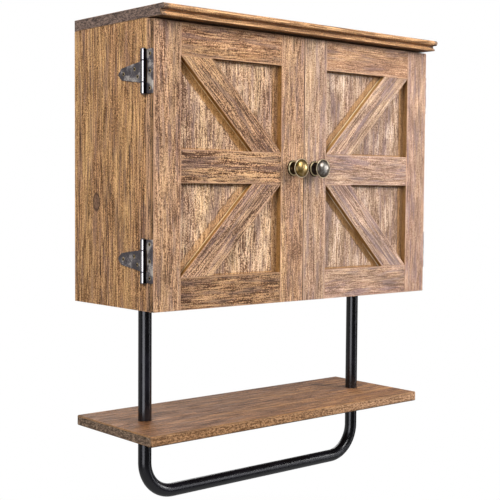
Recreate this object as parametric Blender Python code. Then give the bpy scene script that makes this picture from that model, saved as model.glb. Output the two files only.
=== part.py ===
"""Hanging wall cabinet: a two-door case with an open shelf and a towel bar below it.

Metres, +Z up, +X to the right. The wall is the plane y = 0 and the doors face -Y.
The origin is the middle of the hanging rail's rear face, where the cabinet meets the wall.
Heights in the constants are measured from the underside of the case.
"""

from math import asin, cos, pi, radians, sin

import bmesh
import bpy
from mathutils import Vector

# Case
CASE_WIDTH = 0.560
CASE_HEIGHT = 0.4015
SIDE_DEPTH = 0.1865
BOARD = 0.015
TOP_BOARD = 0.016
FIT = 0.0003

# Moulded front edge of the top board, as distances from the wall and from its underside.
# A hollow cove runs between the lip at the bottom and the rounded nosing.
LIP_FRONT = 0.2206
LIP_HEIGHT = 0.0026
COVE_BACK = 0.2170
COVE_TOP = 0.0070
NOSING_RADIUS = 0.004
NOSING_FRONT = 0.2265

# Back of the case
BACK_PANEL = 0.003
BACK_GROOVE_DEPTH = 0.005
RAIL_HEIGHT = 0.050
LOWER_RAIL_HEIGHT = 0.040
HANGER_SPACING = 0.4064
HANGER_SIZE = Vector((0.016, 0.0015, 0.040))
HANGER_CAVITY = Vector((0.012, 0.007, 0.030))
KEYHOLE_ENTRY_RADIUS = 0.0045
KEYHOLE_SLOT_RADIUS = 0.0023
KEYHOLE_ENTRY_DROP = 0.007
KEYHOLE_SLOT_RISE = 0.008

# Adjustable shelf inside the case
INNER_SHELF = 0.012
INNER_SHELF_UNDERSIDE = 0.199
INNER_SHELF_FRONT = 0.170
PIN_RADIUS = 0.0022
PIN_HOLE_RADIUS = 0.0025
PIN_HOLE_DEPTH = 0.009
PIN_REACH = 0.008
PIN_PITCH = 0.032
PIN_DEPTHS = {"rear": 0.045, "front": 0.150}

# Doors
DOOR_THICKNESS = 0.0155
DOOR_HEIGHT = 0.399
DOOR_MEETING_GAP = 0.0015
STILE = 0.046
RAIL = 0.0455
MID_RAIL = 0.047
MID_RAIL_CENTRE = 0.201
PANEL = 0.0057
PANEL_LAP = 0.008
DIAGONAL_CUT = 0.056

# Knobs, as (radius, distance from the door) points, and their screws
KNOB_FROM_CENTRE = 0.0225
KNOB_HEIGHT = 0.2018
KNOB_FOOT = ((0.01175, 0), (0.01175, 0.0014), (0.0105, 0.0026), (0.0078, 0.0048))
KNOB_NECK = ((0.0060, 0.0085), (0.0062, 0.0125), (0.0090, 0.0155))
KNOB_RIM = ((0.0140, 0.0172), (0.0145, 0.0184), (0.0138, 0.0196))
KNOB_CROWN = ((0.0122, 0.0203), (0.0098, 0.0226), (0.0062, 0.0243), (0, 0.0250))
KNOB_BORE_RADIUS = 0.0027
KNOB_BORE_DEPTH = 0.012
KNOB_SHANK_RADIUS = 0.0024
KNOB_SHANK_REACH = 0.010
KNOB_SCREW_HEAD_RADIUS = 0.0048
KNOB_SCREW_HEAD_EDGE = 0.0012
KNOB_SCREW_HEAD = 0.0024

# Hinges
HINGE_HEIGHTS = {"lower": 0.070, "upper": 0.329}
HINGE_AXIS_DEPTH = 0.1845
LEAF = 0.0014
KNUCKLE_RADIUS = 0.0044
KNUCKLE_END = 0.030
MIDDLE_KNUCKLE_HALF = 0.0147
KNUCKLE_WRAP = 300
STRAP_SHOULDER = 0.010
STRAP_TAPER_END = 0.0575
STRAP_TIP = 0.0655
STRAP_END_HALF_WIDTH = 0.0084
STRAP_TIP_HALF_WIDTH = 0.0015
STRAP_SCREWS = ((0.0185, -0.006), (0.026, 0.005), (0.0528, 0.0))
PLATE_NEAR = 0.005
PLATE_FAR = 0.0173
PLATE_SCREW_REACH = 0.0108
PLATE_SCREW_HEIGHTS = (-0.0233, 0.0, 0.0233)
HINGE_SCREW_HOLE_RADIUS = 0.0019
HINGE_PIN_RADIUS = 0.0024
HINGE_PIN_HEAD_RADIUS = 0.0034
HINGE_PIN_HEAD = 0.0014

# Magnetic catches
CATCH_SIZE = Vector((0.046, 0.018, 0.013))
STRIKE_SIZE = Vector((0.038, 0.0012, 0.010))
CATCH_FROM_CENTRE = 0.036

# Lower shelf and towel bar
LOWER_SHELF_SIZE = Vector((0.554, 0.1937, 0.0155))
LOWER_SHELF_TOP = -0.174
LOWER_SHELF_EDGE = 0.0015
TUBE_RADIUS = 0.010
TUBE_WALL = 0.0012
TUBE_FROM_CENTRE = 0.219
TUBE_DEPTH = 0.0958
BAR_HEIGHT = -0.2872
BEND_RADIUS = 0.050
BEND_STEPS = 10
COLLAR_RADIUS = 0.014
COLLAR_HEIGHT = 0.009
PLUG_LENGTH = 0.018
BOLT_RADIUS = 0.003
BOLT_HEAD_RADIUS = 0.006
BOLT_HEAD_HEIGHT = 0.004

HALF_WIDTH = CASE_WIDTH / 2
HANGING_HEIGHT = CASE_HEIGHT - RAIL_HEIGHT / 2
GROOVE_REAR = BOARD
GROOVE_FRONT = BOARD + BACK_PANEL + 2 * FIT
DOOR_REAR = SIDE_DEPTH + FIT
DOOR_FRONT = DOOR_REAR + DOOR_THICKNESS
PANEL_FACE = DOOR_REAR + PANEL
LOWER_SHELF_UNDERSIDE = LOWER_SHELF_TOP - LOWER_SHELF_SIZE.z
SIDES = {"left": -1, "right": 1}


def clear_scene():
    for thing in list(bpy.data.objects):
        bpy.data.objects.remove(thing, do_unlink=True)


def make_material(name, colour, roughness, metallic=0.0):
    finish = bpy.data.materials.new(name)
    finish.use_nodes = True
    shader = finish.node_tree.nodes["Principled BSDF"]
    shader.inputs["Base Color"].default_value = (*colour, 1.0)
    shader.inputs["Roughness"].default_value = roughness
    shader.inputs["Metallic"].default_value = metallic
    return finish


def make_materials():
    return {
        "case_wood": make_material("case_wood", (0.38, 0.21, 0.10), 0.6),
        "door_wood": make_material("door_wood", (0.42, 0.25, 0.15), 0.6),
        "panel_wood": make_material("panel_wood", (0.50, 0.34, 0.20), 0.65),
        "shelf_wood": make_material("shelf_wood", (0.33, 0.18, 0.09), 0.6),
        "black_tube": make_material("black_tube", (0.012, 0.012, 0.014), 0.35, 0.6),
        "dark_steel": make_material("dark_steel", (0.09, 0.09, 0.10), 0.4, 0.9),
        "zinc_steel": make_material("zinc_steel", (0.55, 0.55, 0.53), 0.35, 1.0),
        "antique_brass": make_material("antique_brass", (0.32, 0.24, 0.12), 0.25, 1.0),
        "catch_plastic": make_material("catch_plastic", (0.20, 0.11, 0.06), 0.5),
    }


def make_empty(name, location, parent=None):
    empty = bpy.data.objects.new(name, None)
    bpy.context.collection.objects.link(empty)
    empty.parent = parent
    empty.location = location
    return empty


def add_object(name, bm, location, parent):
    """Make an object from a mesh centred on its own origin; location is in the case's frame."""
    bmesh.ops.recalc_face_normals(bm, faces=bm.faces)
    mesh = bpy.data.meshes.new(name)
    bm.to_mesh(mesh)
    bm.free()
    thing = bpy.data.objects.new(name, mesh)
    bpy.context.collection.objects.link(thing)
    thing.parent = parent
    thing.location = Vector(location) - parent_origin(parent)
    return thing


def parent_origin(parent):
    """A door's empty stands in the case's frame; the case's own empty is that frame."""
    if parent.parent is None:
        return Vector((0, 0, 0))
    return parent.location


def finished(node, finish, smooth=False):
    node.data.materials.append(finish)
    if smooth:
        node.data.shade_smooth()
        node.data.set_sharp_from_angle(angle=radians(40))
    return node


def as_tool(thing):
    """A cutter or a piece to be joined is a guide and not a part of the object."""
    thing.hide_render = True
    thing.display_type = "WIRE"
    return thing


def combine(node, tool, operation):
    modifier = node.modifiers.new(tool.name, "BOOLEAN")
    modifier.operation = operation
    modifier.solver = "EXACT"
    modifier.object = tool


def board(name, low, high, parent):
    """A straight board between two opposite corners."""
    low = Vector(low)
    high = Vector(high)
    bm = bmesh.new()
    bmesh.ops.create_cube(bm, size=1.0)
    bmesh.ops.scale(bm, vec=high - low, verts=bm.verts)
    return add_object(name, bm, (low + high) / 2, parent)


def prism(name, outline, start, along, location, parent):
    """An outline of 3-D points, moved by start and pushed by along into a closed solid."""
    bm = bmesh.new()
    vertices = [bm.verts.new(Vector(point) + Vector(start)) for point in outline]
    face = bm.faces.new(vertices)
    pushed(bm, [face], along)
    return add_object(name, bm, location, parent)


def with_edges(faces):
    """Faces together with their edges, as extruding needs them to leave no inner face behind."""
    return faces + list({edge for face in faces for edge in face.edges})


def pushed(bm, faces, along):
    """Extrude faces and return the moved ones."""
    grown = bmesh.ops.extrude_face_region(bm, geom=with_edges(faces))["geom"]
    moved = [item for item in grown if isinstance(item, bmesh.types.BMVert)]
    bmesh.ops.translate(bm, vec=Vector(along), verts=moved)
    return [item for item in grown if isinstance(item, bmesh.types.BMFace)]


def arc(centre, radii, start, end, steps):
    """Points on an ellipse's arc, from one angle in degrees to another."""
    angles = [radians(start + (end - start) * step / steps) for step in range(steps + 1)]
    return [(centre[0] + radii[0] * cos(a), centre[1] + radii[1] * sin(a)) for a in angles]


def turned(name, profile, sides, location, parent, closed=False):
    """Spin (radius, height) points about Z; a closed profile gives a ring."""
    bm = bmesh.new()
    points = [bm.verts.new((radius, 0, height)) for radius, height in profile]
    edges = [bm.edges.new(pair) for pair in zip(points, points[1:])]
    if closed:
        edges.append(bm.edges.new((points[-1], points[0])))
    bmesh.ops.spin(
        bm, geom=points + edges, cent=(0, 0, 0), axis=(0, 0, 1),
        angle=2 * pi, steps=sides, use_merge=True,
    )
    bmesh.ops.remove_doubles(bm, verts=bm.verts, dist=1e-6)
    return add_object(name, bm, location, parent)


def cylinder(name, radius, length, sides, location, parent, axis="Z"):
    """A round cutter centred on its location."""
    profile = [(0, -length / 2), (radius, -length / 2), (radius, length / 2), (0, length / 2)]
    tool = turned(name, profile, sides, location, parent)
    if axis == "X":
        tool.rotation_euler.y = radians(90)
    if axis == "Y":
        tool.rotation_euler.x = radians(90)
    return as_tool(tool)


def across(side, near, far):
    """The X range of something that lies between two distances from the middle plane."""
    return sorted((side * near, side * far))


def side_panels(case, finish):
    """Upright side boards with a groove for the back panel and rows of shelf pin holes."""
    inner = HALF_WIDTH - BOARD
    groove = inner + BACK_GROOVE_DEPTH
    plan = [
        (HALF_WIDTH, 0), (HALF_WIDTH, SIDE_DEPTH), (inner, SIDE_DEPTH), (inner, GROOVE_FRONT),
        (groove, GROOVE_FRONT), (groove, GROOVE_REAR), (inner, GROOVE_REAR), (inner, 0),
    ]
    for word, side in SIDES.items():
        outline = [(side * x, -depth, 0) for x, depth in plan]
        panel = prism(f"side_panel_{word}", outline, (0, 0, 0), (0, 0, CASE_HEIGHT), (0, 0, 0), case)
        finished(panel, finish)
        for row, depth in PIN_DEPTHS.items():
            for step in (-1, 0, 1):
                height = pin_height() + step * PIN_PITCH
                place = (side * (inner + PIN_HOLE_DEPTH / 2 - FIT), -depth, height)
                length = PIN_HOLE_DEPTH + 2 * FIT
                name = f"pin_hole_{word}_{row}_{step + 2}"
                hole = cylinder(name, PIN_HOLE_RADIUS, length, 12, place, case, "X")
                combine(panel, hole, "DIFFERENCE")


def pin_height():
    return INNER_SHELF_UNDERSIDE - FIT - PIN_RADIUS


def top_board(case, finish):
    """The cap over the case and doors: its front has a lip, a cove and a rounded nosing."""
    nosing_centre = NOSING_FRONT - NOSING_RADIUS
    nosing_height = TOP_BOARD - NOSING_RADIUS
    outline = [(0, 0), (LIP_FRONT, 0)]
    outline += arc((LIP_FRONT, COVE_TOP), (LIP_FRONT - COVE_BACK, COVE_TOP - LIP_HEIGHT), -90, -180, 6)
    outline += [(COVE_BACK, nosing_height - NOSING_RADIUS)]
    outline += arc((nosing_centre, nosing_height), (NOSING_RADIUS, NOSING_RADIUS), -90, 90, 8)
    outline += [(0, TOP_BOARD)]
    points = [(0, -depth, height) for depth, height in outline]
    place = (0, 0, CASE_HEIGHT + FIT)
    cap = prism("top_board", points, (-HALF_WIDTH, 0, 0), (CASE_WIDTH, 0, 0), place, case)
    finished(cap, finish, smooth=True)


def case_boards(case, finishes):
    inner = HALF_WIDTH - BOARD - FIT
    top = CASE_HEIGHT - FIT
    finish = finishes["case_wood"]
    bottom = board("bottom_board", (-inner, -SIDE_DEPTH, 0), (inner, -GROOVE_FRONT, BOARD), case)
    finished(bottom, finish)
    for word, side in SIDES.items():
        place = (side * TUBE_FROM_CENTRE, -TUBE_DEPTH, BOARD / 2)
        hole = cylinder(f"bar_bolt_hole_{word}", BOLT_RADIUS + FIT, 2 * BOARD, 16, place, case)
        combine(bottom, hole, "DIFFERENCE")
    panel_edge = HALF_WIDTH - BOARD + BACK_GROOVE_DEPTH - FIT
    panel_rear = GROOVE_REAR + FIT
    low = (-panel_edge, -panel_rear - BACK_PANEL, 0)
    finished(board("back_panel", low, (panel_edge, -panel_rear, top), case), finish)
    rail = board("hanging_rail", (-inner, -BOARD, CASE_HEIGHT - RAIL_HEIGHT), (inner, 0, top), case)
    finished(rail, finish)
    lower = board("lower_back_rail", (-inner, -BOARD, 0), (inner, 0, LOWER_RAIL_HEIGHT), case)
    finished(lower, finish)
    for word, side in SIDES.items():
        hanger(word, side, rail, case, finishes["zinc_steel"])


def keyhole_outline():
    """A round entry for a screw head with a narrow slot above it."""
    lean = 90 - 180 / pi * asin(KEYHOLE_SLOT_RADIUS / KEYHOLE_ENTRY_RADIUS)
    entry = (KEYHOLE_ENTRY_RADIUS, KEYHOLE_ENTRY_RADIUS)
    slot = (KEYHOLE_SLOT_RADIUS, KEYHOLE_SLOT_RADIUS)
    points = arc((0, -KEYHOLE_ENTRY_DROP), entry, lean, lean - 360 + 2 * (90 - lean), 14)
    return points + arc((0, KEYHOLE_SLOT_RISE), slot, 180, 0, 6)


def hanger(word, side, rail, case, finish):
    """A keyhole plate let into the rear face of the hanging rail, over a pocket for the screw head."""
    middle = Vector((side * HANGER_SPACING / 2, 0, HANGING_HEIGHT))
    reach = Vector((0, FIT, 0))
    margin = Vector((FIT, 0, FIT))
    half = Vector((HANGER_SIZE.x / 2, 0, HANGER_SIZE.z / 2))
    rear = middle - Vector((0, FIT, 0))
    front = rear - Vector((0, HANGER_SIZE.y, 0))
    plate = finished(board(f"hanger_plate_{word}", front - half, rear + half, case), finish)
    points = [(x, 0, z) for x, z in keyhole_outline()]
    depth = 4 * HANGER_SIZE.y
    keyhole = prism(f"keyhole_{word}", points, (0, depth / 2, 0), (0, -depth, 0), middle, case)
    combine(plate, as_tool(keyhole), "DIFFERENCE")
    seat_low = front - half - margin - reach
    seat_high = middle + half + margin + reach
    combine(rail, as_tool(board(f"hanger_seat_{word}", seat_low, seat_high, case)), "DIFFERENCE")
    hollow = Vector((HANGER_CAVITY.x / 2, 0, HANGER_CAVITY.z / 2))
    floor = middle - Vector((0, HANGER_CAVITY.y, 0))
    cavity = board(f"hanger_cavity_{word}", floor - hollow, middle + hollow + reach, case)
    combine(rail, as_tool(cavity), "DIFFERENCE")


def inner_shelf(case, finishes):
    edge = HALF_WIDTH - BOARD - 3 * FIT
    rear = GROOVE_FRONT + FIT
    low = (-edge, -INNER_SHELF_FRONT, INNER_SHELF_UNDERSIDE)
    high = (edge, -rear, INNER_SHELF_UNDERSIDE + INNER_SHELF)
    finished(board("inner_shelf", low, high, case), finishes["shelf_wood"])
    hidden = PIN_HOLE_DEPTH - FIT
    tip = PIN_RADIUS / 3
    profile = [
        (0, -hidden), (PIN_RADIUS, -hidden), (PIN_RADIUS, PIN_REACH - tip),
        (PIN_RADIUS - tip, PIN_REACH), (0, PIN_REACH),
    ]
    for word, side in SIDES.items():
        for row, depth in PIN_DEPTHS.items():
            place = (side * (HALF_WIDTH - BOARD), -depth, pin_height())
            pin = turned(f"shelf_pin_{row}_{word}", profile, 12, place, case)
            pin.rotation_euler.y = -side * radians(90)
            finished(pin, finishes["zinc_steel"], smooth=True)


def catches(case, doors, finishes):
    """A magnetic catch under the top board for each door, and its strike plate on the door."""
    strike_rear = DOOR_REAR - FIT - STRIKE_SIZE.y
    catch_front = strike_rear - FIT
    top = CASE_HEIGHT - FIT
    for word, side in SIDES.items():
        middle = side * CATCH_FROM_CENTRE
        half = CATCH_SIZE.x / 2
        low = (middle - half, -catch_front, top - CATCH_SIZE.z)
        high = (middle + half, -catch_front + CATCH_SIZE.y, top)
        finished(board(f"magnetic_catch_{word}", low, high, case), finishes["catch_plastic"])
        half = STRIKE_SIZE.x / 2
        strike_top = DOOR_HEIGHT - 3 * FIT
        low = (middle - half, -DOOR_REAR + FIT, strike_top - STRIKE_SIZE.z)
        high = (middle + half, -strike_rear, strike_top)
        strike = board(f"strike_plate_{word}", low, high, doors[word])
        finished(strike, finishes["zinc_steel"])


def door(word, side, frame, finishes):
    """Two stiles and three rails around a thin panel, with a diagonal brace in each opening."""
    wood = finishes["door_wood"]
    meeting = DOOR_MEETING_GAP / 2
    outer_edge = HALF_WIDTH - STILE
    inner_edge = meeting + STILE
    mid_low = MID_RAIL_CENTRE - MID_RAIL / 2
    mid_high = MID_RAIL_CENTRE + MID_RAIL / 2
    top_low = DOOR_HEIGHT - RAIL

    def member(name, near, far, low, high, rear=DOOR_REAR):
        x_low, x_high = across(side, near, far)
        piece = board(f"{name}_{word}", (x_low, -DOOR_FRONT, low), (x_high, -rear, high), frame)
        return finished(piece, wood)

    outer_stile = member("outer_stile", outer_edge, HALF_WIDTH, 0, DOOR_HEIGHT)
    inner_stile = member("inner_stile", meeting, inner_edge, 0, DOOR_HEIGHT)
    near = inner_edge + FIT
    far = outer_edge - FIT
    bottom_rail = member("bottom_rail", near, far, 0, RAIL)
    top_rail = member("top_rail", near, far, top_low, DOOR_HEIGHT)
    member("mid_rail", near, far, mid_low, mid_high, PANEL_FACE + FIT)

    panel_near = inner_edge - PANEL_LAP
    panel_far = outer_edge + PANEL_LAP
    x_low, x_high = across(side, panel_near, panel_far)
    low = Vector((x_low, -PANEL_FACE, RAIL - PANEL_LAP))
    high = Vector((x_high, -DOOR_REAR, top_low + PANEL_LAP))
    finished(board(f"door_panel_{word}", low, high, frame), finishes["panel_wood"])
    margin = Vector((FIT, FIT, FIT))
    rebate = as_tool(board(f"panel_rebate_{word}", low - margin, high + margin, frame))
    for piece in (outer_stile, inner_stile, bottom_rail, top_rail):
        combine(piece, rebate, "DIFFERENCE")

    brace("upper", word, side, (near, far), (mid_high + FIT, top_low - FIT), 1, frame, wood)
    brace("lower", word, side, (near, far), (RAIL + FIT, mid_low - FIT), -1, frame, wood)
    knob(word, side, frame, inner_stile, finishes)


def brace(level, word, side, opening, heights, lean, frame, finish):
    """A diagonal board with level ends; lean is 1 where its top end is at the hinge side."""
    near, far = opening
    low, high = heights
    outer_height, inner_height = (high, low) if lean > 0 else (low, high)
    corners = [
        (far, outer_height), (far - DIAGONAL_CUT, outer_height),
        (near, inner_height), (near + DIAGONAL_CUT, inner_height),
    ]
    outline = [(side * x, 0, z) for x, z in corners]
    start = (0, -PANEL_FACE - FIT, 0)
    along = (0, -(DOOR_FRONT - PANEL_FACE - FIT), 0)
    piece = prism(f"{level}_brace_{word}", outline, start, along, (0, 0, 0), frame)
    finished(piece, finish)


def knob(word, side, frame, stile, finishes):
    """A mushroom knob with a flared foot, held by a machine screw through the inner stile."""
    place = Vector((side * KNOB_FROM_CENTRE, -DOOR_FRONT - FIT, KNOB_HEIGHT))
    bore = KNOB_BORE_RADIUS
    profile = [(0, KNOB_BORE_DEPTH), (bore, KNOB_BORE_DEPTH), (bore, 0)]
    profile += [*KNOB_FOOT, *KNOB_NECK, *KNOB_RIM, *KNOB_CROWN]
    handle = turned(f"knob_{word}", profile, 24, place, frame)
    handle.rotation_euler.x = radians(90)
    finished(handle, finishes["antique_brass"], smooth=True)

    shank = KNOB_SHANK_RADIUS
    head = KNOB_SCREW_HEAD_RADIUS
    crown = head - KNOB_SCREW_HEAD_EDGE
    length = DOOR_THICKNESS + KNOB_SHANK_REACH
    profile = [(0, -KNOB_SCREW_HEAD), (crown, -KNOB_SCREW_HEAD), (head, -KNOB_SCREW_HEAD_EDGE)]
    profile += [(head, 0), (shank, 0), (shank, length), (0, length)]
    rear = Vector((place.x, -DOOR_REAR + FIT, place.z))
    screw = turned(f"knob_screw_{word}", profile, 16, rear, frame)
    screw.rotation_euler.x = radians(90)
    finished(screw, finishes["zinc_steel"], smooth=True)
    middle = Vector((place.x, -(DOOR_REAR + DOOR_FRONT) / 2, place.z))
    hole = cylinder(f"knob_hole_{word}", bore, 2 * DOOR_THICKNESS, 16, middle, frame, "Y")
    combine(stile, hole, "DIFFERENCE")


def knuckle_section(reach):
    """Cross-section of a leaf rolled round the pin: (along the leaf, out from the wood) points."""
    centre = (0, KNUCKLE_RADIUS)
    bore = KNUCKLE_RADIUS - LEAF
    outer = (KNUCKLE_RADIUS, KNUCKLE_RADIUS)
    end = 270 - KNUCKLE_WRAP
    section = [(reach, 0)] + arc(centre, outer, 270, end, 16)
    return section + arc(centre, (bore, bore), end, 270, 16) + [(reach, LEAF)]


def knuckle(name, side, towards, reach, low, high, parent, height):
    """A rolled knuckle with a stub of leaf; towards is 1 for a leaf that runs to the wall."""
    outline = [(side * out, towards * along, 0) for along, out in knuckle_section(reach)]
    place = (side * (HALF_WIDTH + FIT), -HINGE_AXIS_DEPTH, height)
    return prism(name, outline, (0, 0, low), (0, 0, high - low), place, parent)


def taper_strap(strap):
    """Draw the strap's leaf out from its shoulder to a blunt point."""
    bm = bmesh.new()
    bm.from_mesh(strap.data)
    shoulder = [f for f in bm.faces if f.calc_center_median().y > STRAP_SHOULDER - FIT]
    steps = [
        (STRAP_TAPER_END - STRAP_SHOULDER, STRAP_END_HALF_WIDTH),
        (STRAP_TIP - STRAP_TAPER_END, STRAP_TIP_HALF_WIDTH),
    ]
    for length, half_width in steps:
        shoulder = pushed(bm, shoulder, (0, length, 0))
        for vertex in {v for face in shoulder for v in face.verts}:
            vertex.co.z = half_width if vertex.co.z > 0 else -half_width
    bmesh.ops.recalc_face_normals(bm, faces=bm.faces)
    bm.to_mesh(strap.data)
    bm.free()


def hinge(level, word, side, case, frame, finishes):
    """A T hinge: strap on the side panel, plate on the door's edge, and the pin between them."""
    height = HINGE_HEIGHTS[level]
    steel = finishes["dark_steel"]
    ending = f"{level}_{word}"
    leaf_middle = side * (HALF_WIDTH + FIT + LEAF / 2)

    def screw_hole(node, name, towards, reach, rise, parent):
        place = (leaf_middle, -HINGE_AXIS_DEPTH + towards * reach, height + rise)
        hole = cylinder(name, HINGE_SCREW_HOLE_RADIUS, 4 * LEAF, 12, place, parent, "X")
        combine(node, hole, "DIFFERENCE")

    half = MIDDLE_KNUCKLE_HALF
    strap = knuckle(f"hinge_strap_{ending}", side, 1, STRAP_SHOULDER, -half, half, case, height)
    taper_strap(strap)
    finished(strap, steel, smooth=True)
    for number, (reach, rise) in enumerate(STRAP_SCREWS, 1):
        screw_hole(strap, f"strap_screw_hole_{ending}_{number}", 1, reach, rise, case)

    near = -HINGE_AXIS_DEPTH - PLATE_NEAR
    far = -HINGE_AXIS_DEPTH - PLATE_FAR
    x_low, x_high = across(side, HALF_WIDTH + FIT, HALF_WIDTH + FIT + LEAF)
    low = (x_low, far, height - KNUCKLE_END)
    high = (x_high, near, height + KNUCKLE_END)
    plate = finished(board(f"hinge_plate_{ending}", low, high, frame), steel, smooth=True)
    inner_end = MIDDLE_KNUCKLE_HALF + FIT
    for word_end, bottom in (("top", inner_end), ("bottom", -KNUCKLE_END)):
        top = bottom + KNUCKLE_END - inner_end
        name = f"knuckle_{word_end}_{ending}"
        end = knuckle(name, side, -1, PLATE_NEAR + LEAF, bottom, top, frame, height)
        combine(plate, as_tool(end), "UNION")
    for number, rise in enumerate(PLATE_SCREW_HEIGHTS, 1):
        name = f"plate_screw_hole_{ending}_{number}"
        screw_hole(plate, name, -1, PLATE_SCREW_REACH, rise, frame)

    inside = KNUCKLE_END + FIT
    tip = inside + HINGE_PIN_HEAD
    rim = HINGE_PIN_HEAD_RADIUS * 0.75
    profile = [(0, -tip), (rim, -tip), (HINGE_PIN_HEAD_RADIUS, -tip + HINGE_PIN_HEAD / 2)]
    profile += [(HINGE_PIN_HEAD_RADIUS, -inside), (HINGE_PIN_RADIUS, -inside)]
    profile += [(radius, -z) for radius, z in reversed(profile)]
    place = (side * (HALF_WIDTH + FIT + KNUCKLE_RADIUS), -HINGE_AXIS_DEPTH, height)
    pin = turned(f"hinge_pin_{ending}", profile, 16, place, case)
    finished(pin, steel, smooth=True)


def towel_bar_frame(case, finish):
    """One steel tube bent into a U: down each side, with the towel bar across the bottom."""
    bm = bmesh.new()
    for radius in (TUBE_RADIUS, TUBE_RADIUS - TUBE_WALL):
        bmesh.ops.create_circle(bm, cap_ends=False, radius=radius, segments=20)
    wall = bmesh.ops.bridge_loops(bm, edges=bm.edges)["faces"]
    bmesh.ops.translate(bm, vec=(-TUBE_FROM_CENTRE, 0, -FIT), verts=bm.verts)
    bend_height = BAR_HEIGHT + BEND_RADIUS
    bend_start = TUBE_FROM_CENTRE - BEND_RADIUS
    wall = pushed(bm, wall, (0, 0, bend_height + FIT))
    wall = bent(bm, wall, (-bend_start, 0, bend_height))
    wall = pushed(bm, wall, (2 * bend_start, 0, 0))
    wall = bent(bm, wall, (bend_start, 0, bend_height))
    pushed(bm, wall, (0, 0, -bend_height - FIT))
    tube = add_object("towel_bar_frame", bm, (0, -TUBE_DEPTH, 0), case)
    finished(tube, finish, smooth=True)


def bent(bm, faces, centre):
    """Carry a tube's end faces round a quarter turn towards +X and return the new end."""
    turn = bmesh.ops.spin(
        bm, geom=with_edges(faces), cent=centre, axis=(0, -1, 0),
        angle=radians(90), steps=BEND_STEPS,
    )
    return [item for item in turn["geom_last"] if isinstance(item, bmesh.types.BMFace)]


def lower_shelf(case, finishes):
    size = LOWER_SHELF_SIZE
    low = (-size.x / 2, -size.y, LOWER_SHELF_UNDERSIDE)
    shelf = board("lower_shelf", low, (size.x / 2, 0, LOWER_SHELF_TOP), case)
    finished(shelf, finishes["shelf_wood"])
    edge = shelf.modifiers.new("eased_edges", "BEVEL")
    edge.width = LOWER_SHELF_EDGE
    edge.segments = 1
    ring = [
        (TUBE_RADIUS + FIT, -COLLAR_HEIGHT), (COLLAR_RADIUS, -COLLAR_HEIGHT),
        (COLLAR_RADIUS, 0), (TUBE_RADIUS + FIT, 0),
    ]
    for word, side in SIDES.items():
        place = Vector((side * TUBE_FROM_CENTRE, -TUBE_DEPTH, LOWER_SHELF_UNDERSIDE))
        hole = cylinder(f"tube_hole_{word}", TUBE_RADIUS + FIT, 3 * size.z, 20, place, case)
        combine(shelf, hole, "DIFFERENCE")
        under = place - Vector((0, 0, FIT))
        collar = turned(f"shelf_collar_{word}", ring, 20, under, case, closed=True)
        finished(collar, finishes["black_tube"], smooth=True)


def bar_fixings(case, finishes):
    """A threaded plug in each end of the tube, and a bolt down through the bottom board."""
    plug_radius = TUBE_RADIUS - TUBE_WALL - FIT
    thread = BOLT_RADIUS + FIT
    plug = [(thread, -PLUG_LENGTH), (plug_radius, -PLUG_LENGTH), (plug_radius, 0), (thread, 0)]
    length = BOARD + PLUG_LENGTH - BOLT_RADIUS
    crown = BOLT_HEAD_HEIGHT / 2
    bolt = [(0, -length), (BOLT_RADIUS, -length), (BOLT_RADIUS, 0), (BOLT_HEAD_RADIUS, 0)]
    bolt += [(BOLT_HEAD_RADIUS, crown), (0.6 * BOLT_HEAD_RADIUS, BOLT_HEAD_HEIGHT)]
    bolt += [(0, BOLT_HEAD_HEIGHT)]
    for word, side in SIDES.items():
        x = side * TUBE_FROM_CENTRE
        place = (x, -TUBE_DEPTH, -2 * FIT)
        insert = turned(f"tube_plug_{word}", plug, 16, place, case, closed=True)
        finished(insert, finishes["zinc_steel"], smooth=True)
        fixing = turned(f"bar_bolt_{word}", bolt, 16, (x, -TUBE_DEPTH, BOARD + FIT), case)
        finished(fixing, finishes["zinc_steel"], smooth=True)


def main():
    clear_scene()
    finishes = make_materials()
    case = make_empty("case_frame", (0, 0, -HANGING_HEIGHT))
    side_panels(case, finishes["case_wood"])
    top_board(case, finishes["case_wood"])
    case_boards(case, finishes)
    inner_shelf(case, finishes)
    doors = {}
    for word, side in SIDES.items():
        axis = (side * (HALF_WIDTH + FIT + KNUCKLE_RADIUS), -HINGE_AXIS_DEPTH, 0)
        doors[word] = make_empty(f"{word}_door_axis", axis, case)
        door(word, side, doors[word], finishes)
        for level in HINGE_HEIGHTS:
            hinge(level, word, side, case, doors[word], finishes)
    catches(case, doors, finishes)
    towel_bar_frame(case, finishes["black_tube"])
    lower_shelf(case, finishes)
    bar_fixings(case, finishes)


main()
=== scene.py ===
from math import atan2, cos, hypot, pi, radians, sin

import bmesh
import bpy
from mathutils import Matrix, Vector


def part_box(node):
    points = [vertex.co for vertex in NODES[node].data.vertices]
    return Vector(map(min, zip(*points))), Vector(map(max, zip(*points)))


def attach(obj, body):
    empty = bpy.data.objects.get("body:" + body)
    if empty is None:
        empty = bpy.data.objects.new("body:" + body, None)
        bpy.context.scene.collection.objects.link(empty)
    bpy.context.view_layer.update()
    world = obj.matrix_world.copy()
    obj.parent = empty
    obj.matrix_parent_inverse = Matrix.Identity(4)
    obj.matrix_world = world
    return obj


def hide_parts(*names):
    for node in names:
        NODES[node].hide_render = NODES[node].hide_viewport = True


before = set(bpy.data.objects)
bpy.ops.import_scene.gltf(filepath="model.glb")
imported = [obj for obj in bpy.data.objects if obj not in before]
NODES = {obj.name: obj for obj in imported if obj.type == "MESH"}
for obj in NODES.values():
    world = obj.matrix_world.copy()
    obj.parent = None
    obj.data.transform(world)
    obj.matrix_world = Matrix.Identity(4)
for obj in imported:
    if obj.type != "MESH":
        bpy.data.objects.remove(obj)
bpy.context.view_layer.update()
SIDES = {"left": -1, "right": 1}

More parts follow.
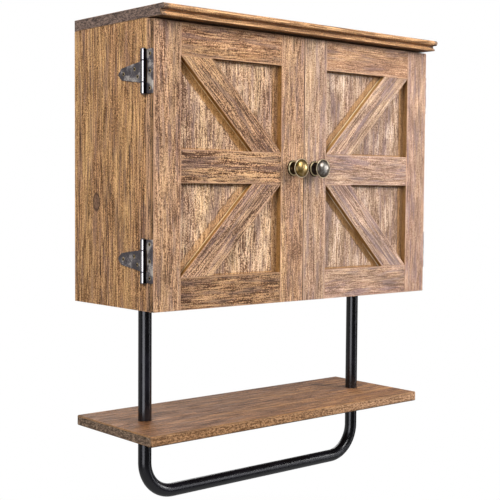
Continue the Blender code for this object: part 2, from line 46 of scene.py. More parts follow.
# Facts of the CAD that its boxes don't give
BRACE_CUT = 0.056
BEND_RADIUS = 0.050
TUBE_WALL = 0.0012
HINGE_LEAF = 0.0014
KNUCKLE_SPLIT = 0.0148
BARREL_RADIUS = 0.0044
STRAP_SCREWS = ((0.0185, -0.006), (0.026, 0.005), (0.0528, 0.0))
PLATE_SCREW_REACH = 0.0108
PLATE_SCREW_HEIGHTS = (-0.0233, 0.0, 0.0233)

# Stage
FLOOR_HEIGHT = -1.35
SWEEP_NEAR = 1.3
SWEEP_FAR = 2.3

MM = 0.001


def linear(red, green, blue):
    """A colour given as 0 to 255 display values, as the shader's linear colour."""
    values = [v / 255 for v in (red, green, blue)]
    return tuple(v / 12.92 if v <= 0.04045 else ((v + 0.055) / 1.055) ** 2.4 for v in values) + (1.0,)


class Graph:
    """Short calls for building one material's nodes."""

    def __init__(self, name):
        self.material = bpy.data.materials.new(name)
        self.material.use_nodes = True
        self.tree = self.material.node_tree
        self.shader = self.tree.nodes["Principled BSDF"]
        self.place = self.add("ShaderNodeTexCoord").outputs

    def add(self, kind, values=None, **settings):
        node = self.tree.nodes.new(kind)
        for name, value in settings.items():
            setattr(node, name, value)
        for name, value in (values or {}).items():
            self.feed(node.inputs[name], value)
        return node

    def feed(self, socket, value):
        if isinstance(value, bpy.types.NodeSocket):
            self.tree.links.new(value, socket)
        else:
            socket.default_value = value

    def calc(self, operation, *values):
        return self.add("ShaderNodeMath", dict(enumerate(values)), operation=operation).outputs[0]

    def vector(self, operation, *values):
        node = self.add("ShaderNodeVectorMath", dict(enumerate(values)), operation=operation)
        return node.outputs["Value" if operation in ("DOT_PRODUCT", "LENGTH") else "Vector"]

    def noise(self, where, detail=2.0, roughness=0.5, output="Fac"):
        values = {"Vector": where, "Scale": 1.0, "Detail": detail, "Roughness": roughness}
        return self.add("ShaderNodeTexNoise", values).outputs[output]

    def stretch(self, where, across, along):
        return self.vector("MULTIPLY", where, (1 / across, 1 / across, 1 / along))

    def fit(self, value, low, high, to_low=0.0, to_high=1.0, shape="SMOOTHSTEP"):
        values = {"Value": value, "From Min": low, "From Max": high, "To Min": to_low, "To Max": to_high}
        return self.add("ShaderNodeMapRange", values, interpolation_type=shape).outputs[0]

    def ramp(self, value, *stops):
        node = self.add("ShaderNodeValToRGB", {"Fac": value})
        band = node.color_ramp
        while len(band.elements) < len(stops):
            band.elements.new(0.5)
        for element, (position, colour) in zip(band.elements, stops):
            element.position = position
            element.color = colour
        return node.outputs["Color"]

    def mix(self, share, first, second, blend="MIX"):
        values = {0: share, 6: first, 7: second}
        return self.add("ShaderNodeMix", values, data_type="RGBA", blend_type=blend).outputs[2]

    def bump(self, height, distance, strength=1.0):
        values = {"Height": height, "Distance": distance, "Strength": strength}
        self.feed(self.shader.inputs["Normal"], self.add("ShaderNodeBump", values).outputs[0])


# ---------------------------------------------------------------- wood

WOODS = {
    "case": {
        "dark": (84, 56, 34), "mid": (158, 114, 74), "light": (212, 166, 116), "grey": (128, 98, 84),
        "bare": (160, 112, 62), "streak": (62, 40, 28), "length": 66, "streaks": 0.7,
        "bands": 0.5, "fibre": 1.0, "specks": 1.2, "pale": 0.0, "greys": 0.5,
        "ends": ((59, 48, 45), (101, 85, 77), (140, 118, 106)),
    },
    "stile": {
        "dark": (96, 62, 40), "mid": (170, 130, 98), "light": (226, 182, 144), "grey": (138, 112, 106),
        "bare": (146, 106, 60), "streak": (76, 48, 32), "length": 28, "streaks": 0.6,
        "bands": 0.4, "fibre": 1.0, "specks": 1.35, "pale": 0.15, "greys": 0.5,
    },
    "rail": {
        "dark": (84, 52, 30), "mid": (162, 120, 88), "light": (218, 174, 136), "grey": (130, 104, 98),
        "bare": (128, 88, 46), "streak": (58, 35, 20), "length": 26, "streaks": 0.6,
        "bands": 0.45, "fibre": 1.0, "specks": 1.3, "pale": 0.1, "greys": 0.5,
    },
    "brace": {
        "dark": (88, 58, 38), "mid": (162, 122, 94), "light": (220, 178, 144), "grey": (134, 108, 104),
        "bare": (152, 106, 56), "streak": (62, 38, 26), "length": 38, "streaks": 0.65,
        "bands": 0.4, "fibre": 1.0, "specks": 1.3, "pale": 0.1, "greys": 0.55,
    },
    "panel": {
        "dark": (98, 68, 46), "mid": (168, 136, 104), "light": (230, 200, 164), "grey": (142, 120, 112),
        "bare": (178, 138, 88), "streak": (76, 50, 34), "length": 18, "streaks": 0.6,
        "bands": 0.35, "fibre": 1.1, "specks": 1.5, "pale": 0.9, "greys": 0.6,
    },
    "shelf": {
        "dark": (80, 56, 40), "mid": (138, 104, 78), "light": (180, 140, 106), "grey": (116, 94, 84),
        "bare": (164, 116, 68), "streak": (56, 38, 28), "length": 40, "streaks": 0.45,
        "bands": 0.55, "fibre": 0.8, "specks": 0.8, "pale": 0.0, "greys": 0.6,
        "ends": ((60, 51, 48), (109, 97, 96), (170, 158, 156)),
    },
}
TONE_SPREAD = 0.30
# Streaks follow a board's contrast up to this
STREAK_CONTRAST_LIMIT = 1.25
# How far the end grain's stain has crept in from the ends of the top board
WICK_REACH = 9 * MM
# The pale line on a brace's wall, measured from the panel: full strength to here, gone here
PALE_LINE_FULL = 2.0 * MM
PALE_LINE_END = 3.4 * MM
# Where the hinge barrels' painted highlight lies: shares of -X and of forward in the surface's direction
HIGHLIGHT_SIDEWAYS = 0.85
HIGHLIGHT_FORWARD = 0.52
END_GRAIN = ((66, 53, 45), (120, 102, 90), (186, 166, 146))

# How much sooner the brush reaches the panel on the easy side of a brace or stile, and above and below
FAR_REACH = 1.7
LEVEL_REACH = 4.0


def grain_space(g, direction, seed):
    """The object's own coordinates in millimetres, turned so that Z runs along the grain."""
    turn = atan2(-direction[0], direction[2]) if direction[0] or direction[2] else 0.0
    tilt = pi / 2 if abs(direction[1]) > 0.5 else 0.0
    values = {
        "Vector": g.place["Object"], "Location": (137.0 * seed, -71.0 * seed, 419.0 * seed),
        "Rotation": (tilt, turn, 0.0), "Scale": (1000.0, 1000.0, 1000.0),
    }
    return g.add("ShaderNodeMapping", values, vector_type="POINT").outputs[0]


def wood(
    name, kind, direction, seed, edges=None, unbrushed=None, knots=(), side=None, wick=None, painted_light_drift=None
):
    """Brushed and stained wood. edges is (direction across, middle, half width) of the front face;
    unbrushed is a function of the graph that gives a 0 to 1 share of smooth bare stain, a dark rim and
    a share of painted shade; knots are (centre, radii); side is (direction, dark, light, strip) of a
    face with colours of its own, painted shade on the inner stiles' faces at the gap between the doors,
    where strip is the depths between which its dark front strip lightens; painted_light_drift is
    (axis, from, to, first, last), painted light that grows along an axis; wick is
    (half length, reach), how far the end grain's dark stain has crept along the board."""
    look = {k: linear(*v) if isinstance(v, tuple) and k != "ends" else v for k, v in WOODS[kind].items()}
    tint_with_painted_light, contrast = BOARDS.get(name, ((1.0, 1.0, 1.0), 1.0))
    g = Graph(f"{name}_wood")
    point = grain_space(g, direction, seed)
    sway = g.vector("SUBTRACT", g.noise(g.stretch(point, 45, 210), 1.0, output="Color"), (0.5, 0.5, 0.5))
    point = g.vector("ADD", point, g.vector("MULTIPLY", sway, (12.0, 12.0, 0.0)))

    figure = g.noise(g.stretch(point, 22, 300), 1.0)
    bands = g.noise(g.stretch(point, 4.6, 150), 2.0, 0.55)
    fibre = g.noise(g.stretch(point, 1.55, look["length"]), 1.0, 0.4)
    hair = g.noise(g.stretch(point, 1.2, look["length"] * 2.6), 1.0, 0.4)
    clumps = g.noise(g.stretch(point, 13, 70), 2.0)
    strokes = g.noise(g.stretch(point, 1.15, look["length"] * 0.7), 1.0, 0.5)
    mottle = g.noise(g.stretch(point, 7, 60), 2.0)
    specks = g.noise(g.stretch(point, 1.4, 2.0), 1.0, 0.5)

    body = g.calc("MULTIPLY", figure, 0.35)
    layers = ((bands, look["bands"]), (fibre, look["fibre"]), (hair, 0.6), (specks, look["specks"]))
    for layer, weight in layers:
        body = g.calc("MULTIPLY_ADD", layer, weight, body)
    middle = (0.95 + look["bands"] + look["fibre"] + look["specks"]) / 2
    spread = TONE_SPREAD / contrast
    tone = g.fit(body, middle - spread, middle + spread, shape="LINEAR")
    brushed = g.ramp(tone, (0.0, look["dark"]), (0.48, look["mid"]), (1.0, look["light"]))
    brushed = g.mix(g.fit(mottle, 0.50, 0.64, 0.0, look["greys"]), brushed, look["grey"])
    drift = g.noise(g.stretch(point, 2.0, 9), 2.0, 0.7)
    hue = g.fit(g.calc("MULTIPLY_ADD", figure, 0.7, drift), 0.60, 1.10)
    brushed = g.mix(1.0, brushed, g.mix(hue, (1.02, 0.99, 1.05, 1.0), (0.99, 1.01, 0.91, 1.0)), "MULTIPLY")
    if look["pale"]:
        reach = g.fit(g.noise(g.stretch(point, 24, 60), 1.0), 0.40, 0.62)
        cloudy = g.mix(reach, (0.90, 0.90, 0.91, 1.0), (1.17, 1.15, 1.10, 1.0))
        brushed = g.mix(1.0, brushed, cloudy, "MULTIPLY")
        pale = g.calc("MULTIPLY", reach, g.fit(g.calc("MULTIPLY_ADD", specks, 0.6, hair), 0.74, 0.98))
        pale_colour = linear(250, 226, 190)
        brushed = g.mix(g.calc("MULTIPLY", pale, look["pale"]), brushed, pale_colour)
    gate = g.fit(clumps, 0.40, 0.60, 0.2, 1.0)
    streak = g.calc("MULTIPLY", g.fit(strokes, 0.56, 0.64), gate)
    streak_strength = look["streaks"] * min(contrast, STREAK_CONTRAST_LIMIT)
    brushed = g.mix(g.calc("MULTIPLY", streak, streak_strength), brushed, look["streak"])
    for centre, radii in knots:
        brushed = knot(g, brushed, centre, radii, look)

    if edges:
        across, centre, half = edges
        offset = g.calc("SUBTRACT", g.vector("DOT_PRODUCT", g.place["Object"], across), centre)
        away = g.calc("ABSOLUTE", offset)
        worn = g.fit(away, half - 2.6 * MM, half - 0.3 * MM)
        rub = g.calc("MULTIPLY", worn, g.fit(clumps, 0.38, 0.6, 0.25, 0.75))
        brushed = g.mix(rub, brushed, linear(218, 172, 138))

    if unbrushed:
        smooth_share, rim, shade = unbrushed(g, point)
        foot = getattr(unbrushed, "foot", None)
        bare = g.mix(tone, (0.55, 0.50, 0.42, 1.0), (1.35, 1.35, 1.35, 1.0))
        bare = g.mix(1.0, look["bare"], bare, "MULTIPLY")
        # Painted shade: bare stain is darker on brace sides that face down and on the panel beside a brace
        # that falls to the right
        bare = g.mix(1.0, bare, g.mix(shade, (1.0, 1.0, 1.0, 1.0), (0.98, 0.95, 0.82, 1.0)), "MULTIPLY")
        if foot:
            reach = g.calc("MULTIPLY", g.vector("DOT_PRODUCT", g.place["Object"], Y), -1.0)
            # Painted light: brace sides that don't face down are 1.4 to 1.6 times lighter
            lit = g.mix(shade, (1.40, 1.50, 1.60, 1.0), (1.0, 1.0, 1.0, 1.0))
            bare = g.mix(1.0, bare, lit, "MULTIPLY")
            near_panel = g.fit(reach, foot + PALE_LINE_END, foot + PALE_LINE_FULL)
            line = g.calc("MULTIPLY", near_panel, g.fit(clumps, 0.36, 0.46))
            bare = g.mix(line, bare, linear(252, 226, 180))
        brushed = g.mix(smooth_share, brushed, bare)
        brushed = g.mix(rim, brushed, g.mix(1.0, look["dark"], (0.6, 0.5, 0.4, 1.0), "MULTIPLY"))
    rings = g.noise(g.vector("MULTIPLY", point, (0.42, 0.16, 0.2)), 3.0, 0.6)
    pores = g.noise(g.vector("MULTIPLY", point, (0.8, 0.8, 0.8)), 2.0, 0.7)
    end_tone = g.fit(g.calc("ADD", rings, pores), 0.84, 1.18)
    if side:
        facing, low_tone, high_tone, strip = side
        facing = g.fit(g.vector("DOT_PRODUCT", g.place["Normal"], facing), 0.7, 0.9, 0.0, 0.9)
        if kind == "shelf":
            side_tone = g.fit(g.calc("MULTIPLY_ADD", tone, 0.6, end_tone), 0.4, 1.2)
        else:
            side_tone = g.fit(g.calc("MULTIPLY_ADD", tone, 0.5, g.calc("ADD", fibre, hair)), 0.95, 1.55)
        flank_colour_or_gap_shade = g.mix(side_tone, linear(*low_tone), linear(*high_tone))
        if strip:
            inward = g.fit(g.vector("DOT_PRODUCT", g.place["Object"], Y), strip[0], strip[1])
            shading = g.mix(inward, (0.70, 0.66, 0.60, 1.0), (1.12, 1.14, 1.32, 1.0))
            flank_colour_or_gap_shade = g.mix(1.0, flank_colour_or_gap_shade, shading, "MULTIPLY")
        brushed = g.mix(facing, brushed, flank_colour_or_gap_shade)

    along_grain = g.vector("DOT_PRODUCT", g.place["Normal"], tuple(direction))
    end = g.fit(g.calc("ABSOLUTE", along_grain), 0.80, 0.95)
    if wick:
        half_length, reach = wick
        crept = g.calc("MULTIPLY_ADD", g.calc("SUBTRACT", fibre, 0.5), 0.012, half_length - reach)
        away = g.calc("SUBTRACT", g.calc("ABSOLUTE", g.vector("DOT_PRODUCT", g.place["Object"], X)), crept)
        end = g.calc("MAXIMUM", end, g.fit(away, 0.0, 3 * MM, 0.0, 0.8))
    end_low, end_middle, end_high = look.get("ends", END_GRAIN)
    stops = ((0.0, linear(*end_low)), (0.5, linear(*end_middle)), (1.0, linear(*end_high)))
    end_grain = g.ramp(end_tone, *stops)
    # Painted light that grows along an axis
    if painted_light_drift:
        axis, start, stop, first, last = painted_light_drift
        drift_share = g.fit(g.vector("DOT_PRODUCT", g.place["Object"], axis), start, stop)
        shading = g.mix(drift_share, (*first, 1.0), (*last, 1.0))
        brushed = g.mix(1.0, brushed, shading, "MULTIPLY")
    colour = g.mix(end, brushed, end_grain)
    colour = g.mix(1.0, colour, (*tint_with_painted_light, 1.0), "MULTIPLY")
    g.feed(g.shader.inputs["Base Color"], colour)
    g.feed(g.shader.inputs["Roughness"], g.fit(fibre, 0.3, 0.7, 0.68, 0.48))
    g.shader.inputs["Specular IOR Level"].default_value = 0.3
    height = g.calc("SUBTRACT", g.calc("ADD", fibre, g.calc("MULTIPLY", specks, 0.5)), streak)
    g.bump(height, 0.6 * MM, 0.9)
    return g.material


def knot(g, colour, centre, radii, look):
    """A tight knot: a dark ring round a grey-brown heart."""
    local = g.vector("DIVIDE", g.vector("SUBTRACT", g.place["Object"], centre), radii)
    ripple = g.noise(g.vector("MULTIPLY", local, (1.6, 1.6, 1.6)), 2.0)
    away = g.calc("ADD", g.vector("LENGTH", local), g.calc("MULTIPLY", ripple, 0.3))
    heart_tone = g.noise(g.vector("MULTIPLY", local, (3.0, 3.0, 3.0)), 3.0, 0.6)
    heart = g.mix(g.fit(heart_tone, 0.35, 0.65), linear(72, 48, 36), linear(124, 94, 74))
    colour = g.mix(g.fit(away, 1.25, 1.05, 0.0, 0.85), colour, heart)
    ring = g.calc("MULTIPLY", g.fit(away, 0.95, 1.15), g.fit(away, 1.5, 1.2))
    return g.mix(g.calc("MULTIPLY", ring, 0.85), colour, look["streak"])


def facing_share(side_vector, both=False):
    """Share of bare stain on the faces that look along side_vector: the walls of a recess."""
    def share(g, point):
        dot = g.vector("DOT_PRODUCT", g.place["Normal"], side_vector)
        dot = g.calc("ABSOLUTE", dot) if both else dot
        return g.fit(dot, 0.6, 0.9), 0.0, 0.0
    return share


def brace_walls(word):
    """A brace's sides are bare stain, with painted shade where they face down and painted light where
    they don't, and a pale line at the panel in places."""
    panel_face = abs(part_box(f"door_panel_{word}")[0].y)

    def share(g, point):
        front = g.calc("ABSOLUTE", g.vector("DOT_PRODUCT", g.place["Normal"], Y))
        down = g.vector("DOT_PRODUCT", g.place["Normal"], (0.0, 0.0, -1.0))
        return g.fit(front, 0.9, 0.5), 0.0, g.fit(down, 0.2, 0.5)

    share.foot = panel_face
    return share


def worn_edge(name, colour):
    """Wood rubbed bare along an arris."""
    g = Graph(name)
    specks = g.noise(g.vector("MULTIPLY", g.place["Object"], (420.0, 420.0, 420.0)), 3.0, 0.7)
    slow = g.noise(g.vector("MULTIPLY", g.place["Object"], (45.0, 45.0, 45.0)), 2.0)
    tone = g.fit(g.calc("ADD", specks, slow), 0.75, 1.25)
    light = linear(*colour)
    dark = tuple(v * 0.45 for v in light[:3]) + (1.0,)
    g.feed(g.shader.inputs["Base Color"], g.mix(tone, dark, light))
    g.feed(g.shader.inputs["Roughness"], g.fit(specks, 0.3, 0.7, 0.75, 0.5))
    g.shader.inputs["Specular IOR Level"].default_value = 0.3
    g.bump(specks, 0.4 * MM, 0.6)
    return g.material


def dress(node, material, edge_material=None, bevel=0.4 * MM, segments=2):
    """Give a CAD node its finish and ease its arrises."""
    node.data.materials.clear()
    node.data.materials.append(material)
    if edge_material:
        node.data.materials.append(edge_material)
    weld = node.modifiers.new("weld", "WELD")
    weld.merge_threshold = 1e-5
    flat = node.modifiers.new("flat_faces", "DECIMATE")
    flat.decimate_type = "DISSOLVE"
    flat.angle_limit = radians(0.5)
    if bevel:
        ease = node.modifiers.new("eased_edges", "BEVEL")
        ease.width = bevel
        ease.segments = segments
        ease.limit_method = "ANGLE"
        ease.angle_limit = radians(40)
        ease.use_clamp_overlap = True
        if edge_material:
            ease.material = 1
    node.modifiers.new("even_shading", "WEIGHTED_NORMAL")


def box_span(name, axis):
    low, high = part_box(name)
    return low[axis], high[axis]


X, Y, Z = (1.0, 0.0, 0.0), (0.0, 1.0, 0.0), (0.0, 0.0, 1.0)
FRONT = (0.0, -1.0, 0.0)
# Colour and contrast of single boards, fitted by a script to each board's average in a photograph.
# Besides the wood's own colour they hold painted light: the right door's boards are paler, bluer
# and lower in contrast than the left door's.
BOARDS = {
    "outer_stile_left": ((0.68, 0.68, 0.68), 1.13),
    "inner_stile_left": ((0.83, 0.84, 0.85), 0.99),
    "top_rail_left": ((0.81, 0.79, 0.73), 1.03),
    "mid_rail_left": ((0.71, 0.70, 0.67), 2.14),
    "bottom_rail_left": ((0.62, 0.61, 0.55), 1.54),
    "upper_brace_left": ((0.71, 0.69, 0.62), 1.52),
    "lower_brace_left": ((0.77, 0.79, 0.79), 1.57),
    "outer_stile_right": ((0.83, 0.89, 1.11), 0.53),
    "inner_stile_right": ((0.84, 0.93, 1.08), 0.71),
    "top_rail_right": ((0.94, 0.99, 1.04), 0.59),
    "mid_rail_right": ((0.90, 1.03, 1.38), 0.61),
    "bottom_rail_right": ((0.88, 1.00, 1.30), 0.69),
    "upper_brace_right": ((0.94, 1.07, 1.23), 0.67),
    "lower_brace_right": ((0.87, 0.99, 1.22), 0.75),
    "side_panel_left": ((1.01, 1.05, 1.11), 1.31),
    "lower_shelf": ((0.84, 0.69, 0.48), 1.70),
    "door_panel_left": ((0.84, 0.77, 0.76), 1.40),
    "door_panel_right": ((0.78, 0.76, 0.87), 0.64),
}
EDGES = {
    "case": worn_edge("worn_case_edge", (176, 134, 92)),
    "door": worn_edge("worn_door_edge", (206, 164, 130)),
    "shelf": worn_edge("worn_shelf_edge", (160, 124, 88)),
}


def span_edges(name, axis, vector):
    low, high = box_span(name, axis)
    return vector, (low + high) / 2, (high - low) / 2


def finish_case():
    shelf, case = "shelf", "case"
    knots = {
        "side_panel_left": [((-0.280, -0.0597, -0.2270), (0.02, 0.0080, 0.0115))],
        "side_panel_right": [((0.280, -0.1290, -0.0610), (0.02, 0.0060, 0.0110))],
        "inner_shelf": [((0.1180, -0.0900, -0.1650), (0.0140, 0.0065, 0.02))],
        "lower_back_rail": [((-0.1320, -0.0150, -0.3540), (0.0110, 0.02, 0.0055))],
    }
    # Painted light: the open shelf grows lighter and bluer towards its right end, and the top board's front
    # lighter
    painted_light_drifts = {
        "lower_shelf": (X, -0.10, box_span("lower_shelf", 0)[1], (0.96, 0.93, 0.88), (1.28, 1.34, 1.55)),
        "top_board": (Y, -0.2150, -0.2168, (1.0, 1.0, 1.0), (1.28, 1.28, 1.32)),
    }
    fronts = {
        "lower_shelf": (FRONT, (102, 78, 58), (187, 159, 138), None),
        "top_board": (FRONT, (118, 84, 52), (198, 156, 112), None),
    }
    boards = {
        "side_panel_left": (case, Z, 1.3, (Y, 1), 1.2), "side_panel_right": (case, Z, 2.1, (Y, 1), 1.2),
        "bottom_board": (case, X, 3.2, (Y, 1), 0.5), "top_board": (case, X, 4.4, None, 0.4),
        "hanging_rail": (case, X, 5.7, (Z, 2), 0.5), "lower_back_rail": (case, X, 6.3, (Z, 2), 0.5),
        "inner_shelf": (shelf, X, 7.9, (Y, 1), 0.6), "lower_shelf": (shelf, X, 8.8, None, 0.5),
        "back_panel": (case, Z, 9.1, None, 0.3),
    }
    for name, (kind, grain, seed, rim, bevel) in boards.items():
        edges = span_edges(name, rim[1], rim[0]) if rim else None
        wick = (box_span(name, 0)[1], WICK_REACH) if name == "top_board" else None
        marks = (knots.get(name, ()), fronts.get(name), wick, painted_light_drifts.get(name))
        material = wood(name, kind, grain, seed, edges, None, *marks)
        dress(NODES[name], material, EDGES[kind], bevel * MM)


def brace_line(name, side, lean, upper_side):
    """A brace's long edge in the door's plane, as a unit normal and its distance from the origin."""
    low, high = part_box(name)
    near = min(abs(low.x), abs(high.x))
    far = max(abs(low.x), abs(high.x))
    shift = BRACE_CUT if upper_side else 0.0
    top, bottom = (far - shift, near + BRACE_CUT - shift)
    if lean < 0:
        top, bottom = bottom, top
    start = Vector((side * top, 0.0, high.z))
    run = start - Vector((side * bottom, 0.0, low.z))
    normal = Vector((run.z, 0.0, -run.x)).normalized()
    return normal, normal.dot(start), run.normalized(), side * (top + bottom) / 2


def panel_share(word, side):
    """Bare stain on a door panel beside the stiles and braces, where a brush can't reach, and painted
    shade beside the lower-left side of the brace that falls to the right.
    """
    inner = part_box(f"inner_stile_{word}")
    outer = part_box(f"outer_stile_{word}")
    near = max(abs(inner[0].x), abs(inner[1].x))
    far = min(abs(outer[0].x), abs(outer[1].x))
    left, right = sorted((side * near, side * far))
    lines = [(Vector(X), right, 1.0), (Vector(X), left, FAR_REACH)]
    hanging = None
    for level, lean in (("upper", 1), ("lower", -1)):
        pair = [brace_line(f"{level}_brace_{word}", side, lean, upper) for upper in (True, False)]
        pair.sort(key=lambda line: line[3])
        lines += [(pair[0][0], pair[0][1], 1.0), (pair[1][0], pair[1][1], FAR_REACH)]
        if side * lean < 0:
            hanging = lines[-2]
    rails = [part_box(f"top_rail_{word}")[0].z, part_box(f"mid_rail_{word}")[1].z]
    rails += [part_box(f"mid_rail_{word}")[0].z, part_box(f"bottom_rail_{word}")[1].z]
    reach = {"left": 0.0105, "right": 0.0095}[word]
    evenness = {"left": 0.6, "right": 0.88}[word]

    def share(g, point):
        def away(normal, distance, scale):
            dot = g.vector("DOT_PRODUCT", g.place["Object"], tuple(normal))
            return g.calc("MULTIPLY", g.calc("ABSOLUTE", g.calc("SUBTRACT", dot, distance)), scale)
        nearest = away(*lines[0])
        for line in lines[1:]:
            nearest = g.calc("MINIMUM", nearest, away(*line))
        for height in rails:
            nearest = g.calc("MINIMUM", nearest, away(Vector(Z), height, LEVEL_REACH))
        ragged = g.noise(g.stretch(point, 5.0, 40), 3.0, 0.6)
        nearest = g.calc("ADD", nearest, g.calc("MULTIPLY", g.calc("SUBTRACT", ragged, 0.5), 0.007))
        smooth = g.fit(nearest, reach + 0.0008, reach - 0.0008)
        inside, outside = g.fit(nearest, reach - 0.0016, reach), g.fit(nearest, reach + 0.0022, reach)
        rim = g.calc("MULTIPLY", inside, outside)
        patchy = g.fit(g.noise(g.stretch(point, 9, 30), 1.0), 0.42, 0.58, 0.1, 0.75)
        # Painted shade: within 9 to 13 mm of that brace's lower-left side the panel is darker and its bare
        # stain evener
        shade = g.fit(away(*hanging), 0.013, 0.009)
        evened = g.calc("MULTIPLY", smooth, g.fit(shade, 0.0, 1.0, evenness, 0.9))
        seen = g.fit(g.vector("DOT_PRODUCT", g.place["Normal"], FRONT), 0.3, 0.6)
        rim = g.calc("MULTIPLY", g.calc("MULTIPLY", rim, patchy), seen)
        return g.calc("MULTIPLY", evened, seen), rim, shade
    return share


def finish_doors():
    """Stiles run upright, rails across and each brace along its own slope."""
    for word, side in SIDES.items():
        seed = 20.0 + 17.3 * (side + 1)
        front, rear = box_span(f"outer_stile_{word}", 1)
        strip = (front + 0.45 * (rear - front), front + 0.60 * (rear - front))
        members = [
            ("outer_stile", "stile", Z, X, 0, facing_share((-float(side), 0.0, 0.0))),
            ("inner_stile", "stile", Z, X, 0, facing_share((float(side), 0.0, 0.0))),
            ("top_rail", "rail", X, Z, 2, facing_share((0.0, 0.0, -1.0))),
            ("mid_rail", "rail", X, Z, 2, facing_share(Z, both=True)),
            ("bottom_rail", "rail", X, Z, 2, facing_share(Z)),
        ]
        for number, (stem, kind, grain, across, axis, share) in enumerate(members):
            name = f"{stem}_{word}"
            edges = span_edges(name, axis, across)
            flank_colour_or_gap_shade = {
                "outer_stile": ((float(side), 0.0, 0.0), (52, 36, 26), (216, 168, 122), strip),
                # On the inner stiles the faces at the gap between the doors are painted shade, near black
                "inner_stile": ((-float(side), 0.0, 0.0), (20, 13, 8), (48, 32, 22), None),
            }.get(stem)
            material = wood(name, kind, grain, seed + 1.7 * number, edges, share, (), flank_colour_or_gap_shade)
            dress(NODES[name], material, None if stem == "inner_stile" else EDGES["door"], 0.4 * MM)
        for number, (level, lean) in enumerate((("upper", 1), ("lower", -1))):
            name = f"{level}_brace_{word}"
            normal, upper, along, _ = brace_line(name, side, lean, True)
            lower = brace_line(name, side, lean, False)[1]
            edges = (tuple(normal), (upper + lower) / 2, abs(upper - lower) / 2)
            material = wood(name, "brace", tuple(along), seed + 10 + 2.3 * number, edges, brace_walls(word))
            dress(NODES[name], material, EDGES["door"], 0.4 * MM)
        name = f"door_panel_{word}"
        material = wood(name, "panel", Z, seed + 15, None, panel_share(word, side))
        dress(NODES[name], material, None, 0.0)


# ---------------------------------------------------------------- metal and plastic

def metal(name, dark, light, roughness, patch, metallic=1.0):
    """Metal with patches, of the size patch in millimetres, where the dark finish has worn to
    lighter metal; roughness is (least, how much more where it isn't worn)."""
    g = Graph(name)
    spread = g.vector("MULTIPLY", g.place["Object"], (1000.0 / patch,) * 3)
    patches = g.noise(spread, 4.0, 0.65)
    grain = g.noise(g.vector("MULTIPLY", g.place["Object"], (900.0, 900.0, 900.0)), 3.0, 0.6)
    share = g.fit(patches, 0.42, 0.62)
    g.feed(g.shader.inputs["Base Color"], g.mix(share, linear(*dark), linear(*light)))
    base, spread_by = roughness
    rough = g.fit(g.calc("ADD", patches, grain), 0.7, 1.3, base + spread_by, base)
    g.feed(g.shader.inputs["Roughness"], rough)
    g.shader.inputs["Metallic"].default_value = metallic
    g.bump(grain, 0.02 * MM, 0.5)
    return g.material


def hinge_steel(name):
    """Gun-metal leaves, rubbed paler in places, and a rolled barrel that is polished almost black.
    The barrel's pale stripe is a painted highlight, where the piece's own surface faces -X and
    forward. On the right-hand hinges only the strap's knuckle has such a surface, on the side next to the
    door."""
    g = Graph(name)
    pin_low, pin_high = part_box("hinge_pin_lower_left")
    axis = (pin_low + pin_high) / 2
    side_reach = g.calc("ABSOLUTE", g.vector("DOT_PRODUCT", g.place["Object"], X))
    sideways = g.calc("SUBTRACT", side_reach, abs(axis.x))
    fore_and_aft = g.calc("SUBTRACT", g.vector("DOT_PRODUCT", g.place["Object"], Y), axis.y)
    squares = g.calc("MULTIPLY_ADD", sideways, sideways, g.calc("MULTIPLY", fore_and_aft, fore_and_aft))
    barrel = g.fit(g.calc("SQRT", squares), BARREL_RADIUS + 0.4 * MM, BARREL_RADIUS + 0.1 * MM)
    patches = g.noise(g.vector("MULTIPLY", g.place["Object"], (70.0, 70.0, 70.0)), 2.0, 0.5)
    grain = g.noise(g.vector("MULTIPLY", g.place["Object"], (500.0, 500.0, 500.0)), 2.0)
    tone = g.fit(g.calc("MULTIPLY_ADD", grain, 0.4, patches), 0.56, 0.86)
    stops = ((0.0, linear(76, 71, 74)), (0.6, linear(112, 107, 110)), (1.0, linear(184, 176, 168)))
    leaf = g.ramp(tone, *stops)
    height = g.vector("DOT_PRODUCT", g.place["Object"], Z)
    splits = None
    for level in ("lower", "upper"):
        low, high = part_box(f"hinge_plate_{level}_left")
        for rise in (-KNUCKLE_SPLIT, KNUCKLE_SPLIT):
            away = g.calc("ABSOLUTE", g.calc("SUBTRACT", height, (low.z + high.z) / 2 + rise))
            seam = g.fit(away, 1.1 * MM, 0.5 * MM)
            splits = g.calc("MAXIMUM", splits, seam) if splits else seam
    # Painted highlight: a pale stripe on the barrel where its surface faces -X and forward
    proud = g.calc("MULTIPLY", g.vector("DOT_PRODUCT", g.place["Normal"], X), -1.0)
    forward = g.vector("DOT_PRODUCT", g.place["Normal"], FRONT)
    painted_highlight = g.calc("MULTIPLY_ADD", proud, HIGHLIGHT_SIDEWAYS, g.calc("MULTIPLY", forward, HIGHLIGHT_FORWARD))
    painted_highlight = g.fit(painted_highlight, 0.82, 0.94)
    # The barrel's colour: near black, with the painted highlight stripe
    polished = g.mix(painted_highlight, linear(34, 32, 35), linear(196, 192, 194))
    polished = g.mix(splits, polished, linear(8, 7, 8))
    g.feed(g.shader.inputs["Base Color"], g.mix(barrel, leaf, polished))
    shares = {0: barrel, 2: g.fit(tone, 0.0, 1.0, 0.5, 0.34), 3: 0.12}
    rough = g.add("ShaderNodeMix", shares, data_type="FLOAT")
    g.feed(g.shader.inputs["Roughness"], rough.outputs[0])
    g.feed(g.shader.inputs["Metallic"], g.fit(barrel, 0.0, 1.0, 0.4, 1.0))
    g.bump(g.calc("MULTIPLY", grain, g.calc("SUBTRACT", 1.0, barrel)), 0.04 * MM, 0.4)
    return g.material


